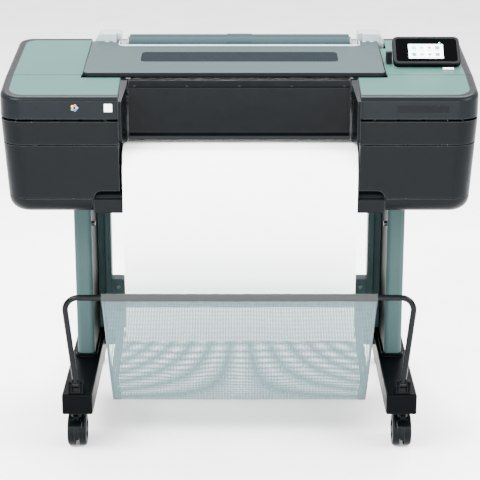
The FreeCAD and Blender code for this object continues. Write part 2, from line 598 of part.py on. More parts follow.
def leg_plan(grow, z0, z1):
    """Section of a leg: a deep front column, a slim inner one, and the web that joins them."""
    column = upright(LEG_X0, LEG_X1, LEG_Y0, LEG_Y1, grow, z0, z1, 12)
    rib = upright(RIB_X0, RIB_X1, RIB_Y0, RIB_Y1, grow, z0, z1, 4)
    web = box(RIB_X1 - 6, LEG_X0 + 14, LEG_Y1 - 14 - grow, LEG_Y1 - 4 + grow, z0, z1)
    return column.fuse([rib, web]).removeSplitter()


def legs():
    z0, z1 = FOOT_Z1 - 19.8, 639.8
    column = upright(LEG_X0, LEG_X1, LEG_Y0, LEG_Y1, -4, z0 - 1, z1 + 1, 12)
    groove = box(LEG_X0 - 1, LEG_X0 + 1.5, LEG_Y0 + 16, 108, z0 - 1, z1 + 1)
    leg = leg_plan(0, z0, z1).cut(column).cut(groove)
    leg = leg.cut(upright(RIB_X0, RIB_X1, RIB_Y0, RIB_Y1, -3, z0 - 1, z1 + 1, 4))
    export_pair("leg", leg.removeSplitter())
    strip = box(LEG_X0 + 0.4, LEG_X0 + 1.5, LEG_Y0 + 16.2, 107.8, FOOT_Z1 + 9, 616)
    export("leg_strips", Part.makeCompound([strip, mirrored(strip)]))


def crossbar():
    y0, y1, z0, z1 = 108.0, 146.0, 184.0, 235.0
    x = RIB_X0 - 0.1
    bar = prism_x([(y0, z0), (y1, z0), (y1, z1), (y0, z1)], -x, x, 6)
    bar = bar.cut(box(-x + 4, x - 4, y0 + 4, y1 - 4, z0 + 4, z1 - 4))
    top = 331.0
    plate = extrude(rounded([(316, y0 - 2, z1), (x, y0 - 2, z1), (x, y0 - 2, top), (321, y0 - 2, top)],
                            [0, 0, 0, 12]), (0, 42, 0))
    plate = plate.cut(box(330, x - 4, y0 + 2, y1 + 4, z1 + 4, top - 6))
    export("stand_crossbar", Part.makeCompound([bar, plate, mirrored(plate)]))


def stand_screws():
    """A knurled knob inside each leg near the top, and two cap screws through each crossbar bracket."""
    knob = Part.makeCylinder(6.5, 9, V(LEG_X0 + 0.4, LEG_Y0 + 24, 546), V(-1, 0, 0))
    knob = knob.cut(Part.makeCylinder(3, 4, V(LEG_X0 - 6, LEG_Y0 + 24, 546), V(-1, 0, 0)))
    screws = [knob]
    for z in (262, 308):
        head = Part.makeCylinder(4.5, 3.5, V(340, 106, z), V(0, -1, 0))
        screws.append(head.cut(Part.makeCylinder(2, 3, V(340, 104, z), V(0, -1, 0))))
    export("stand_screws", Part.makeCompound(screws + [mirrored(s) for s in screws]))


def bin_parts():
    py, pz = BIN_PIVOT
    ty, tz = BIN_TOP
    x_low, x_high = 422.0, 446.0
    base = FOOT_Z1
    ears = []
    for x0 in (x_low - 19, x_low + 10):
        ear = prism_x([(py - 16, base), (py - 14, pz + 8), (py + 14, pz + 8), (py + 22, base)], x0, x0 + 9, [0, 8, 8, 0])
        ears.append(ear)
    pad = box(x_low - 19, x_low + 19, py - 16, py + 22, base + 0.0, base + 4)
    pin = rod_x(x_low - 17, x_low + 17, py, pz, 4.0)
    clevis = pad.fuse(ears + [pin]).removeSplitter()
    export("bin_clevises", Part.makeCompound([clevis, mirrored(clevis)]))

    corner = 34.0
    low, high = V(x_low, py, pz), V(x_high, ty, tz)
    side = (high - low)
    side.normalize()
    inward = V(-1, 0, 0)
    half = side.getAngle(V(1, 0, 0)) / 2
    reach = corner / math.tan(half)
    a = high - side * reach
    b = high + inward * reach
    bis = (inward - side)
    bis.normalize()
    mid = high + bis * (corner / math.sin(half) - corner)
    run_low = Part.LineSegment(low, a).toShape()
    bend = Part.Arc(a, mid, b).toShape()
    across = Part.LineSegment(b, V(-b.x, b.y, b.z)).toShape()
    a2, m2, b2 = (V(-p.x, p.y, p.z) for p in (a, mid, b))
    path = Part.Wire([run_low, bend, across, Part.Arc(b2, m2, a2).toShape(),
                      Part.LineSegment(a2, V(-low.x, low.y, low.z)).toShape()])
    ring_ = Part.Wire([Part.makeCircle(BAR_R, low, side)])
    tube = path.makePipeShell([ring_], True, False)
    for s in (-1, 1):
        eye = rod_x(min((x_low - 8.5) * s, (x_low + 8.5) * s), max((x_low - 8.5) * s, (x_low + 8.5) * s), py, pz, 10)
        tube = tube.fuse(eye)
    tube = tube.cut(rod_x(-500, 500, py, pz, 4.05)).removeSplitter()
    export("bin_bar", tube)

    half_w, t = 346.0, 2.5
    front_low = (-246.0, 116.0)
    top = (ty + 9.5, tz - 10.0)
    front = prism_x([top, front_low, (front_low[0] + t, front_low[1] + 1), (top[0] + t, top[1])], -half_w, half_w)
    sleeve = rod_x(-half_w, half_w, ty, tz, BAR_R + 2.0).cut(rod_x(-half_w - 1, half_w + 1, ty, tz, BAR_R + 0.3))
    hem = prism_x([(ty + 5.9, tz - 6.6), (ty + 9.6, tz - 11.5), (ty + 12, tz - 9), (ty + 8.9, tz - 2.5)], -half_w, half_w)
    export("bin_fabric_front", front.fuse([sleeve, hem]).removeSplitter())
    low_a, low_b, rear_top = (-242.0, 110.0), (-150.0, 112.0), (104.0, 236.0)
    floor_ = prism_x([low_a, low_b, (low_b[0], low_b[1] + t), (low_a[0], low_a[1] + t)], -half_w + 8, half_w - 8)
    rear = prism_x([(low_b[0] + 0.2, low_b[1]), rear_top, (rear_top[0], rear_top[1] + t),
                    (low_b[0] + 0.2, low_b[1] + t)], -half_w + 8, half_w - 8)
    export("bin_fabric_rear", Part.makeCompound([floor_, rear]))


# ---- casters ------------------------------------------------------------------------------------
def casters():
    for place, y in (("front", CASTER_Y[0]), ("rear", CASTER_Y[1])):
        for side, x in (("right", CASTER_X), ("left", -CASTER_X)):
            name = place + "_" + side
            axle_y = y + CASTER_TRAIL
            stem = Part.makeCylinder(5.5, 40, V(x, y, 100), V(0, 0, 1))
            collar = Part.makeCylinder(13, 24, V(x, y, 91), V(0, 0, 1))
            hood = rod_x(x - HOOD_W / 2, x + HOOD_W / 2, axle_y, WHEEL_R, WHEEL_R + 4)
            hood = hood.cut(box(x - 30, x + 30, axle_y - 60, axle_y + 60, -10, WHEEL_R - 14))
            wrap = rod_x(x - HOOD_W / 2 - 16, x + HOOD_W / 2 + 16, axle_y, WHEEL_R, WHEEL_R + 5)
            wrap = wrap.cut(rod_x(x - 40, x + 40, axle_y, WHEEL_R, WHEEL_R + 1.5))
            wrap = wrap.common(prism_x([(axle_y - 50, 62), (axle_y - 50, 100), (axle_y + 50, 100), (axle_y + 8, 62)],
                                       x - 40, x + 40))
            neck = box(x - HOOD_W / 2, x + HOOD_W / 2, y - 12, y + 26, 70, 98)
            neck = neck.cut(rod_x(x - 40, x + 40, axle_y, WHEEL_R, WHEEL_R + 1.5).cut(hood))
            lug = box(x - 6, x + 6, y - 23, y - 8, 79, 98).fuse(rod_x(x - 6, x + 6, y - 19, 84, 5))
            lug = lug.cut(rod_x(x - 9, x + 9, y - 19, 84, 2.05))
            front_lug = [lug] if place == "front" else []
            fork = hood.fuse([wrap, neck, collar, stem] + front_lug).cut(rod_x(x - 40, x + 40, axle_y, WHEEL_R, 4.05))
            export("caster_fork_" + name, fork.removeSplitter())
            wheels = []
            for s in (-1, 1):
                a = x + s * (HOOD_W / 2 + 1.0)
                b = a + s * WHEEL_W
                disc = rod_x(min(a, b), max(a, b), axle_y, WHEEL_R, WHEEL_R)
                disc = soften(disc, 5, lambda e: e.Curve.TypeId == "Part::GeomCircle" and abs(e.BoundBox.XMin - b) < 0.01)
                dish = rod_x(min(b, b - 5 * s), max(b, b - 5 * s), axle_y, WHEEL_R, 26)
                dish = dish.cut(rod_x(min(b, b - 6 * s), max(b, b - 6 * s), axle_y, WHEEL_R, 9))
                wheels.append(disc.cut(dish))
            axle = rod_x(x - HOOD_W / 2 - 4, x + HOOD_W / 2 + 4, axle_y, WHEEL_R, 4.0)
            export("caster_wheels_" + name, wheels[0].fuse([wheels[1], axle]).removeSplitter())


def caster_brakes():
    """Foot levers on the two front casters, pivoted on the hood's front."""
    for side, x in (("right", CASTER_X), ("left", -CASTER_X)):
        y, z = CASTER_Y[0] - 19, 84.0
        pad = prism_x([(y - 34, z - 6), (y - 34, z - 1), (y - 7, z + 5), (y - 7, z - 3)], x - 17, x + 17, 1.5)
        cheeks = [prism_x([(y - 9, z - 4), (y - 9, z + 4), (y + 5, z + 4), (y + 5, z - 4)], a, a + 5, 3)
                  for a in (x - 12, x + 7)]
        lever = pad.fuse(cheeks + [rod_x(x - 12, x + 12, y, z, 2.0)]).removeSplitter()
        export("caster_brake_" + side, lever)


def power_inlet():
    """Mains inlet in the back panel: a flange round a deep socket with three blades."""
    x, z, y = 240.0, 672.0, BODY_REAR
    flange = extrude(rounded([(x - 24, y, z - 17), (x + 24, y, z - 17), (x + 24, y, z + 17), (x - 24, y, z + 17)], 4),
                     (0, 2.5, 0))
    shell = box(x - 16, x + 16, y - 24, y, z - 12, z + 12)
    socket = extrude(rounded([(x - 12, y + 5, z - 9), (x + 12, y + 5, z - 9), (x + 12, y + 5, z + 5),
                              (x + 8, y + 5, z + 9), (x - 8, y + 5, z + 9), (x - 12, y + 5, z + 5)], 1.5), (0, -26, 0))
    blades = [box(x + dx - 1, x + dx + 1, y - 22, y - 4, z + dz - 2, z + dz + 2) for dx, dz in ((-7, -3), (0, 3), (7, -3))]
    inlet = flange.fuse(shell).cut(socket).fuse(blades).removeSplitter()
    export("power_inlet", inlet)


def blank_labels():
    """Two plain plates on the front of the ink covers, without any writing."""
    y = BODY_FRONT
    dark = extrude(rounded([(398, y, 884), (530, y, 884), (530, y, 903), (398, y, 903)], 3), (0, -1, 0))
    export("right_label", dark)
    light = extrude(rounded([(-341.5, y, 887), (-321, y, 887), (-321, y, 907.5), (-341.5, y, 907.5)], 1.5), (0, -1, 0))
    export("left_label", light)


def main():
    os.makedirs("parts", exist_ok=True)
    for build in (end_covers, top_covers, side_brackets, front_panel, output_apron, back_panel, top_cover,
                  rear_deck, roll_and_spindle, roll_cover, touch_screen, chassis_beam, platen, feed_roller,
                  carriage_and_rail, belt_drive, ink_cartridges, printed_sheet, feet, legs, crossbar,
                  stand_screws, bin_parts, casters, caster_brakes, power_inlet, blank_labels):
        print(build.__name__, flush=True)
        build()


main()
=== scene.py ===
# %% [markdown]
# # A roll-fed large format plotter
# The measured model of the machine is loaded first and stays fixed. This lesson adds what a drawing
# office would see: moulded and painted finishes, glass, paper, the lit touch screen and the mesh bin.
# Every length is in metres, X runs along the machine, Y from front to back and Z up.

# %% Load the measured model
import bpy
import math
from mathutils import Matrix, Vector, noise


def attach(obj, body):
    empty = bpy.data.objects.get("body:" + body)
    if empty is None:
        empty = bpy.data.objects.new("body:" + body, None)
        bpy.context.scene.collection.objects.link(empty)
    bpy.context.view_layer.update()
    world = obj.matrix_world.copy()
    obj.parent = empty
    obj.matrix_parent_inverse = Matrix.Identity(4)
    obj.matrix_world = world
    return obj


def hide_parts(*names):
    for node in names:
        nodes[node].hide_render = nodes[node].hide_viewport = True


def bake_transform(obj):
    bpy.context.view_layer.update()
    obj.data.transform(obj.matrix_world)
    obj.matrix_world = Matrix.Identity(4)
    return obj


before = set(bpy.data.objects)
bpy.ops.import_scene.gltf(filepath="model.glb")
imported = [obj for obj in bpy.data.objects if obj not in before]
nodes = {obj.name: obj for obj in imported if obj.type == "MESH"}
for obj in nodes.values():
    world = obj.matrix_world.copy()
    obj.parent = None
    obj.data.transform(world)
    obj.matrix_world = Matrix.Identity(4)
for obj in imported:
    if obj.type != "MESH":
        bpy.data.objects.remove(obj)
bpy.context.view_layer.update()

# %% [markdown]
# ## Camera and studio
# A long lens, a little above the machine and tilted down, keeps the sides nearly parallel. A large
# soft key light comes from the upper left, a fill from the right, a low strip from the front and a
# wide one from above and behind.

# %% Camera and lights
CAMERA_PLACE = (0.0016, -4.2836, 1.8309)
CAMERA_TILT = 72.5
CAMERA_LENS = 123.75
WORLD_STRENGTH = 2.7

lens_data = bpy.data.cameras.new("studio_camera")
lens_data.lens = CAMERA_LENS
lens_data.sensor_width = 36.0
lens_data.clip_end = 60.0
camera = bpy.data.objects.new("studio_camera", lens_data)
camera.location = CAMERA_PLACE
camera.rotation_euler = (math.radians(CAMERA_TILT), 0.0, 0.0)
bpy.context.scene.collection.objects.link(camera)
bpy.context.scene.camera = camera


def area_light(name, place, target, size, power):
    data = bpy.data.lights.new(name, "AREA")
    data.shape = "RECTANGLE"
    data.size, data.size_y = size
    data.energy = power
    lamp = bpy.data.objects.new(name, data)
    lamp.location = place
    lamp.rotation_euler = (Vector(target) - Vector(place)).to_track_quat("-Z", "Y").to_euler()
    bpy.context.scene.collection.objects.link(lamp)


area_light("key_softbox", (-2.4, -2.4, 3.6), (0, 0, 0.6), (2.8, 2.2), 640)
area_light("fill_softbox", (3.2, -1.8, 2.6), (0, 0, 0.6), (2.2, 2.2), 350)
area_light("low_front", (0.0, -3.6, 0.9), (0, 0, 0.35), (3.0, 0.8), 150)
area_light("top_softbox", (0.2, 1.4, 3.6), (0, 0.1, 0.9), (3.4, 1.6), 560)

world = bpy.data.worlds.new("studio_white")
world.use_nodes = True
backdrop = world.node_tree.nodes["Background"]
backdrop.inputs["Color"].default_value = (1.0, 1.0, 1.0, 1.0)
backdrop.inputs["Strength"].default_value = WORLD_STRENGTH
bpy.context.scene.world = world

# %% [markdown]
# ## Shader tools
# `make_group` starts a shared effect with named sockets, `add` places a node and sets its constants,
# and `wire` joins two sockets. Each effect below is written once, so that several materials can share it.

# %% Shader helpers


def make_group(name, inputs, outputs):
    tree = bpy.data.node_groups.new(name, "ShaderNodeTree")
    for label, kind, value in inputs:
        socket = tree.interface.new_socket(label, in_out="INPUT", socket_type="NodeSocket" + kind)
        if value is not None:
            socket.default_value = value
    for label, kind in outputs:
        tree.interface.new_socket(label, in_out="OUTPUT", socket_type="NodeSocket" + kind)
    return tree, tree.nodes.new("NodeGroupInput"), tree.nodes.new("NodeGroupOutput")


def add(tree, kind, values=None, **settings):
    made = tree.nodes.new("ShaderNode" + kind)
    for key, value in settings.items():
        setattr(made, key, value)
    for key, value in (values or {}).items():
        made.inputs[key].default_value = value
    return made


def wire(tree, source, target):
    tree.links.new(source, target)


def maths(tree, operation, first, second=None, clamp=False):
    made = add(tree, "Math", operation=operation, use_clamp=clamp)
    for slot, value in ((0, first), (1, second)):
        if value is None:
            continue
        if isinstance(value, (int, float)):
            made.inputs[slot].default_value = value
        else:
            wire(tree, value, made.inputs[slot])
    return made.outputs[0]


def mixed(tree, share, first, second):
    made = add(tree, "Mix", data_type="RGBA")
    for key, value in ((0, share), (6, first), (7, second)):
        if isinstance(value, (int, float, tuple)):
            made.inputs[key].default_value = value
        else:
            wire(tree, value, made.inputs[key])
    return made.outputs[2]


def cloud(tree, scale, stretch=(1, 1, 1), detail=3.0, rough=0.55):
    """Noise in the object's own metres, stretched along the axes."""
    place = add(tree, "TexCoord")
    mapping = add(tree, "Mapping", {"Scale": stretch})
    made = add(tree, "TexNoise", {"Scale": scale, "Detail": detail, "Roughness": rough})
    wire(tree, place.outputs["Object"], mapping.inputs["Vector"])
    wire(tree, mapping.outputs["Vector"], made.inputs["Vector"])
    return made


# %% [markdown]
# ## Moulded surface
# One effect serves the plastics. Slow noise shifts the tone, fine noise gives the grain, and the
# difference between the true normal and a rounded one finds the edges. These get a lighter colour,
# partly wear and partly a painted highlight along the rounded edges. The three effects after it
# serve metal and satin paint, the net's weave, and paper.

# %% Shared effects
moulded, m_in, m_out = make_group(
    "moulded_surface",
    [("Color", "Color", (0.05, 0.05, 0.05, 1)), ("Vary", "Float", 0.15), ("Grain Scale", "Float", 900.0),
     ("Grain Depth", "Float", 0.12), ("Roughness", "Float", 0.45), ("Wear", "Float", 0.3),
     ("Wear Color", "Color", (0.3, 0.3, 0.3, 1))],
    [("Color", "Color"), ("Roughness", "Float"), ("Normal", "Vector")])
slow = cloud(moulded, 5.0)
grain = cloud(moulded, 900.0, detail=2.0)
smudge = cloud(moulded, 38.0, detail=5.0, rough=0.65)
wire(moulded, m_in.outputs["Grain Scale"], grain.inputs["Scale"])
shift = maths(moulded, "SUBTRACT", slow.outputs["Fac"], 0.5)
shift = maths(moulded, "MULTIPLY", shift, m_in.outputs["Vary"])
speck = maths(moulded, "SUBTRACT", grain.outputs["Fac"], 0.5)
speck = maths(moulded, "MULTIPLY", speck, 0.18)
tone = maths(moulded, "ADD", maths(moulded, "ADD", shift, speck), 1.0)
scaled = add(moulded, "VectorMath", operation="SCALE")
wire(moulded, m_in.outputs["Color"], scaled.inputs[0])
wire(moulded, tone, scaled.inputs["Scale"])
edge = add(moulded, "Bevel", {"Radius": 0.0022}, samples=4)
face = add(moulded, "NewGeometry")
match = add(moulded, "VectorMath", operation="DOT_PRODUCT")
wire(moulded, edge.outputs["Normal"], match.inputs[0])
wire(moulded, face.outputs["Normal"], match.inputs[1])
# The lighter edge colour is partly wear and partly a painted highlight on the rounded edges.
edge_wear_and_highlight = maths(moulded, "SUBTRACT", 1.0, match.outputs["Value"])
edge_wear_and_highlight = maths(moulded, "MULTIPLY", edge_wear_and_highlight, 6.0, clamp=True)
edge_wear_and_highlight = maths(moulded, "MULTIPLY", edge_wear_and_highlight, m_in.outputs["Wear"], clamp=True)
edge_wear_and_highlight = maths(moulded, "MULTIPLY", edge_wear_and_highlight, maths(moulded, "ADD", smudge.outputs["Fac"], 0.3), clamp=True)
shade = mixed(moulded, edge_wear_and_highlight, scaled.outputs["Vector"], m_in.outputs["Wear Color"])
wire(moulded, shade, m_out.inputs["Color"])
rub = maths(moulded, "MULTIPLY", maths(moulded, "SUBTRACT", smudge.outputs["Fac"], 0.5), 0.16)
wire(moulded, maths(moulded, "ADD", m_in.outputs["Roughness"], rub, clamp=True), m_out.inputs["Roughness"])
bump = add(moulded, "Bump", {"Distance": 0.0004})
wire(moulded, m_in.outputs["Grain Depth"], bump.inputs["Strength"])
wire(moulded, grain.outputs["Fac"], bump.inputs["Height"])
wire(moulded, bump.outputs["Normal"], m_out.inputs["Normal"])

brushed, b_in, b_out = make_group(
    "brushed_surface",
    [("Color", "Color", (0.4, 0.5, 0.48, 1)), ("Roughness", "Float", 0.35), ("Streak", "Float", 0.3)],
    [("Color", "Color"), ("Roughness", "Float"), ("Normal", "Vector")])
streaks = cloud(brushed, 6.0, stretch=(1.2, 160, 160), detail=4.0)
drift = cloud(brushed, 2.6, detail=2.0)
lift = maths(brushed, "SUBTRACT", streaks.outputs["Fac"], 0.5)
lift = maths(brushed, "MULTIPLY", lift, b_in.outputs["Streak"])
lift = maths(brushed, "ADD", lift, maths(brushed, "MULTIPLY", drift.outputs["Fac"], 0.16))
toned = add(brushed, "VectorMath", operation="SCALE")
wire(brushed, b_in.outputs["Color"], toned.inputs[0])
wire(brushed, maths(brushed, "ADD", lift, 0.92), toned.inputs["Scale"])
wire(brushed, toned.outputs["Vector"], b_out.inputs["Color"])
polish = maths(brushed, "MULTIPLY", maths(brushed, "SUBTRACT", streaks.outputs["Fac"], 0.5), 0.3)
wire(brushed, maths(brushed, "ADD", b_in.outputs["Roughness"], polish, clamp=True), b_out.inputs["Roughness"])
ridge = add(brushed, "Bump", {"Distance": 0.0002, "Strength": 0.2})
wire(brushed, streaks.outputs["Fac"], ridge.inputs["Height"])
wire(brushed, ridge.outputs["Normal"], b_out.inputs["Normal"])

weave, w_in, w_out = make_group(
    "net_weave",
    [("Thread", "Color", (0.2, 0.22, 0.22, 1)), ("Pitch", "Float", 0.004), ("Cover", "Float", 0.4)],
    [("Color", "Color"), ("Alpha", "Float"), ("Normal", "Vector")])
cloth_map = add(weave, "UVMap", uv_map="cloth_metres")
split = add(weave, "SeparateXYZ")
wire(weave, cloth_map.outputs["UV"], split.inputs["Vector"])
crests = []
for axis in ("X", "Y"):
    turn = maths(weave, "DIVIDE", split.outputs[axis], w_in.outputs["Pitch"])
    part = maths(weave, "FRACT", turn)
    crests.append(maths(weave, "ABSOLUTE", maths(weave, "SUBTRACT", part, 0.5)))
reach = maths(weave, "SUBTRACT", 0.5, maths(weave, "MULTIPLY", w_in.outputs["Cover"], 0.5))
threads = [maths(weave, "GREATER_THAN", crest, reach) for crest in crests]
wire(weave, maths(weave, "MAXIMUM", threads[0], threads[1]), w_out.inputs["Alpha"])
lint = cloud(weave, 60.0, detail=4.0)
dust = maths(weave, "ADD", maths(weave, "MULTIPLY", lint.outputs["Fac"], 0.5), 0.75)
spun = add(weave, "VectorMath", operation="SCALE")
wire(weave, w_in.outputs["Thread"], spun.inputs[0])
wire(weave, dust, spun.inputs["Scale"])
wire(weave, spun.outputs["Vector"], w_out.inputs["Color"])
raised = add(weave, "Bump", {"Distance": 0.0006, "Strength": 0.5})
wire(weave, maths(weave, "MAXIMUM", crests[0], crests[1]), raised.inputs["Height"])
wire(weave, raised.outputs["Normal"], w_out.inputs["Normal"])

fibre, f_in, f_out = make_group(
    "paper_fibre",
    [("Color", "Color", (0.85, 0.87, 0.87, 1)), ("Shade", "Color", (0.7, 0.74, 0.75, 1)),
     ("Fibre", "Float", 0.25)],
    [("Color", "Color"), ("Roughness", "Float"), ("Normal", "Vector")])
pulp = cloud(fibre, 420.0, stretch=(1, 1, 0.35), detail=4.0)
broad = cloud(fibre, 3.0, detail=2.0)
share = maths(fibre, "MULTIPLY", pulp.outputs["Fac"], f_in.outputs["Fibre"])
share = maths(fibre, "ADD", share, maths(fibre, "MULTIPLY", broad.outputs["Fac"], 0.15), clamp=True)
wire(fibre, mixed(fibre, share, f_in.outputs["Color"], f_in.outputs["Shade"]), f_out.inputs["Color"])
matt = maths(fibre, "ADD", maths(fibre, "MULTIPLY", pulp.outputs["Fac"], 0.2), 0.5)
wire(fibre, matt, f_out.inputs["Roughness"])
felt = add(fibre, "Bump", {"Distance": 0.0001, "Strength": 0.25})
wire(fibre, pulp.outputs["Fac"], felt.inputs["Height"])
wire(fibre, felt.outputs["Normal"], f_out.inputs["Normal"])
print("shared effects", [g.name for g in bpy.data.node_groups])

# %% [markdown]
# ## Finishes
# A finish is one effect feeding one Principled shader, whose fixed values are set on its sockets.

# %% Materials


def finish_with(name, effect, values, outputs, fixed):
    made = bpy.data.materials.new(name)
    made.use_nodes = True
    tree = made.node_tree
    shader = tree.nodes["Principled BSDF"]
    group = tree.nodes.new("ShaderNodeGroup")
    group.node_tree = effect
    for key, value in values.items():
        group.inputs[key].default_value = value
    for source, target in outputs.items():
        wire(tree, group.outputs[source], shader.inputs[target])
    for key, value in fixed.items():
        shader.inputs[key].default_value = value
    return made


STANDARD = {"Color": "Base Color", "Roughness": "Roughness", "Normal": "Normal"}


# A plastic's edge colour is partly wear and partly a painted highlight on its rounded edges.
def plastic(name, color, rough, wear_highlight_color, grain=900.0, depth=0.12, wear_highlight=0.35, vary=0.2, **fixed):
    values = {"Color": (*color, 1), "Roughness": rough, "Wear Color": (*wear_highlight_color, 1), "Grain Scale": grain,
              "Grain Depth": depth, "Wear": wear_highlight, "Vary": vary}
    return finish_with(name, moulded, values, STANDARD, fixed)


def metal(name, color, rough, streak, **fixed):
    values = {"Color": (*color, 1), "Roughness": rough, "Streak": streak}
    return finish_with(name, brushed, values, STANDARD, fixed)


def cloth(name, color, pitch, cover, **fixed):
    values = {"Thread": (*color, 1), "Pitch": pitch, "Cover": cover}
    outputs = {"Color": "Base Color", "Normal": "Normal", "Alpha": "Alpha"}
    return finish_with(name, weave, values, outputs, fixed)


# A low specular level keeps the white room's reflection from lightening the dark finishes.
DIM = {"Specular IOR Level": 0.055}
SATIN = {"Specular IOR Level": 0.04}
# On the dark plastics below, the light edge colour is partly wear and partly a painted highlight.
charcoal = plastic("charcoal_cover", (0.00143, 0.00202, 0.00247), 0.36,
                   (0.05, 0.056, 0.06), 1100.0, 0.10, 0.6, **DIM)
gloss_front = plastic("front_panel_gloss", (0.00097, 0.00143, 0.00187), 0.22,
                      (0.05, 0.056, 0.06), 1400.0, 0.04, 0.5, **DIM)
inner_black = plastic("inner_black", (0.00150, 0.00150, 0.00172), 0.55,
                      (0.02, 0.02, 0.02), 700.0, 0.2, 0.2, **DIM)
nylon = plastic("black_nylon", (0.00120, 0.00180, 0.00210), 0.38,
                (0.03, 0.032, 0.033), 800.0, 0.14, 0.5, **DIM)
deck_grey = plastic("deck_grey", (0.22, 0.26, 0.265), 0.42, (0.6, 0.64, 0.63), 1200.0, 0.08, 0.4)
# The ink cover's black is lighter than the other black plastics: painted sheen for its glossier band.
ink_cover_black = plastic("ink_cover_black", (0.0032, 0.0044, 0.0052), 0.30,
                          (0.05, 0.056, 0.06), 1100.0, 0.08, 0.6, **DIM)
hub_blue = plastic("hub_blue_grey", (0.020, 0.036, 0.040), 0.4, (0.2, 0.25, 0.26), 900.0, 0.1, 0.4)
foot_black = plastic("foot_black", (0.00060, 0.00090, 0.00113), 0.33, (0.03, 0.034, 0.035), 500.0, 0.14, 0.6,
                     **{"Specular IOR Level": 0.02})
ink_black = plastic("cartridge_black", (0.004, 0.004, 0.0045), 0.3,
                    (0.03, 0.03, 0.03), 900.0, 0.08, 0.3, **DIM)
tyre_rubber = plastic("roller_rubber", (0.006, 0.006, 0.0063), 0.75,
                      (0.03, 0.03, 0.03), 260.0, 0.5, 0.2, **DIM)
screw_steel = plastic("screw_steel", (0.006, 0.006, 0.006), 0.3,
                      (0.2, 0.2, 0.2), 500.0, 0.1, 0.8, Metallic=0.6)
plate_dark = plastic("plate_dark", (0.00225, 0.00285, 0.00330), 0.25,
                     (0.03, 0.03, 0.03), 600.0, 0.04, 0.3, **DIM)
plate_light = plastic("plate_light", (0.75, 0.78, 0.78), 0.4, (0.5, 0.5, 0.5), 600.0, 0.05, 0.3)
tube_black = plastic("tube_black", (0.00097, 0.00150, 0.00195), 0.16, (0.02, 0.025, 0.03), 300.0, 0.05, 0.3,
                     **{"Specular IOR Level": 0.08})
panel_green = metal("panel_green_grey", (0.026, 0.068, 0.058), 0.34, 0.26, **SATIN)
cover_satin = metal("cover_satin", (0.020, 0.033, 0.0345), 0.36, 0.22, **SATIN)
leg_satin = metal("leg_satin", (0.027, 0.048, 0.048), 0.42, 0.20, **SATIN)
bracket_paint = metal("bracket_paint", (0.030, 0.048, 0.050), 0.42, 0.2, **SATIN)
zinc = metal("zinc_sheet", (0.30, 0.31, 0.32), 0.42, 0.5, Metallic=1.0)
ground_rod = metal("ground_rod", (0.5, 0.51, 0.52), 0.18, 0.2, Metallic=1.0)
window_glass = plastic("window_glass", (0.004, 0.0065, 0.0085), 0.28, (0.015, 0.022, 0.026), 200.0, 0.01, 0.3,
                       **{"Specular IOR Level": 0.005})
hood_tint = plastic("hood_tint", (0.016, 0.029, 0.032), 0.16, (0.05, 0.08, 0.085), 300.0, 0.02, 0.3,
                    **{"Specular IOR Level": 0.01})
screen_black = plastic("screen_black", (0.0004, 0.0005, 0.0006), 0.08, (0.01, 0.01, 0.01), 300.0, 0.01, 0.2,
                       **{"Specular IOR Level": 0.02})
paper = finish_with("coated_paper", fibre, {"Color": (0.91, 0.935, 0.93, 1)}, STANDARD, {"Sheen Weight": 0.1})
net_cloth = cloth("net_cloth", (0.055, 0.098, 0.108), 0.0040, 0.48, Roughness=0.7)
hem_cloth = cloth("hem_cloth", (0.0055, 0.008, 0.008), 0.0022, 0.85, Roughness=0.8)
flap_cloth = cloth("flap_cloth", (0.05, 0.075, 0.085), 0.0022, 0.66, Roughness=0.75)
floor_paint = plastic("floor_paint", (0.95, 0.95, 0.95), 0.6, (0.9, 0.9, 0.9), 3.0, 0.0, 0.0, 0.02)

# The top cover is satin on top. Faces turned away from its slope are black: painted shade along its
# edges and in the gap under them.
LID_SLOPE = (0.0, -0.0915, 0.9958)
EDGE_BELOW = 0.93
EDGE_PAINTED_SHADE = (0.003, 0.004, 0.005, 1)
lid_tree = cover_satin.node_tree
lid_shader = lid_tree.nodes["Principled BSDF"]
facing = add(lid_tree, "NewGeometry")
upward = add(lid_tree, "VectorMath", {1: LID_SLOPE}, operation="DOT_PRODUCT")
wire(lid_tree, facing.outputs["Normal"], upward.inputs[0])
# Faces turned away from the slope take the painted shade colour.
painted_shade_share = maths(lid_tree, "LESS_THAN", upward.outputs["Value"], EDGE_BELOW)
satin_group = next(n for n in lid_tree.nodes if n.type == "GROUP")
lid_color = mixed(lid_tree, painted_shade_share, satin_group.outputs["Color"], EDGE_PAINTED_SHADE)
wire(lid_tree, lid_color, lid_shader.inputs["Base Color"])

FINISHES = {
    charcoal: ["base_cover", "lower_cover", "middle_cover", "rear_cover", "back_panel", "output_apron"],
    ink_cover_black: ["ink_cover"],
    gloss_front: ["front_panel", "side_brackets"],
    panel_green: ["ink_panel", "top_panels"],
    cover_satin: ["top_cover"],
    window_glass: ["top_cover_window"],
    hood_tint: ["roll_cover"],
    deck_grey: ["rear_deck"],
    nylon: ["screen_housing", "screen_bracket", "power_inlet", "caster_fork", "caster_wheels",
            "caster_brake"],
    screen_black: ["screen_glass"],
    hub_blue: ["roll_spindle"],
    zinc: ["chassis_beam"],
    ground_rod: ["carriage_rail"],
    inner_black: ["platen", "carriage", "leg_strips", "drive_belt", "idler_pulley", "motor_pulley"],
    tyre_rubber: ["feed_roller"],
    ink_black: ["ink_cartridges"],
    paper: ["paper_roll", "printed_sheet"],
    leg_satin: ["leg"],
    bracket_paint: ["stand_crossbar"],
    foot_black: ["foot", "bin_clevises"],
    tube_black: ["bin_bar"],
    net_cloth: ["bin_fabric_front", "bin_fabric_rear"],
    screw_steel: ["stand_screws"],
    plate_dark: ["right_label"],
    plate_light: ["left_label"],
}


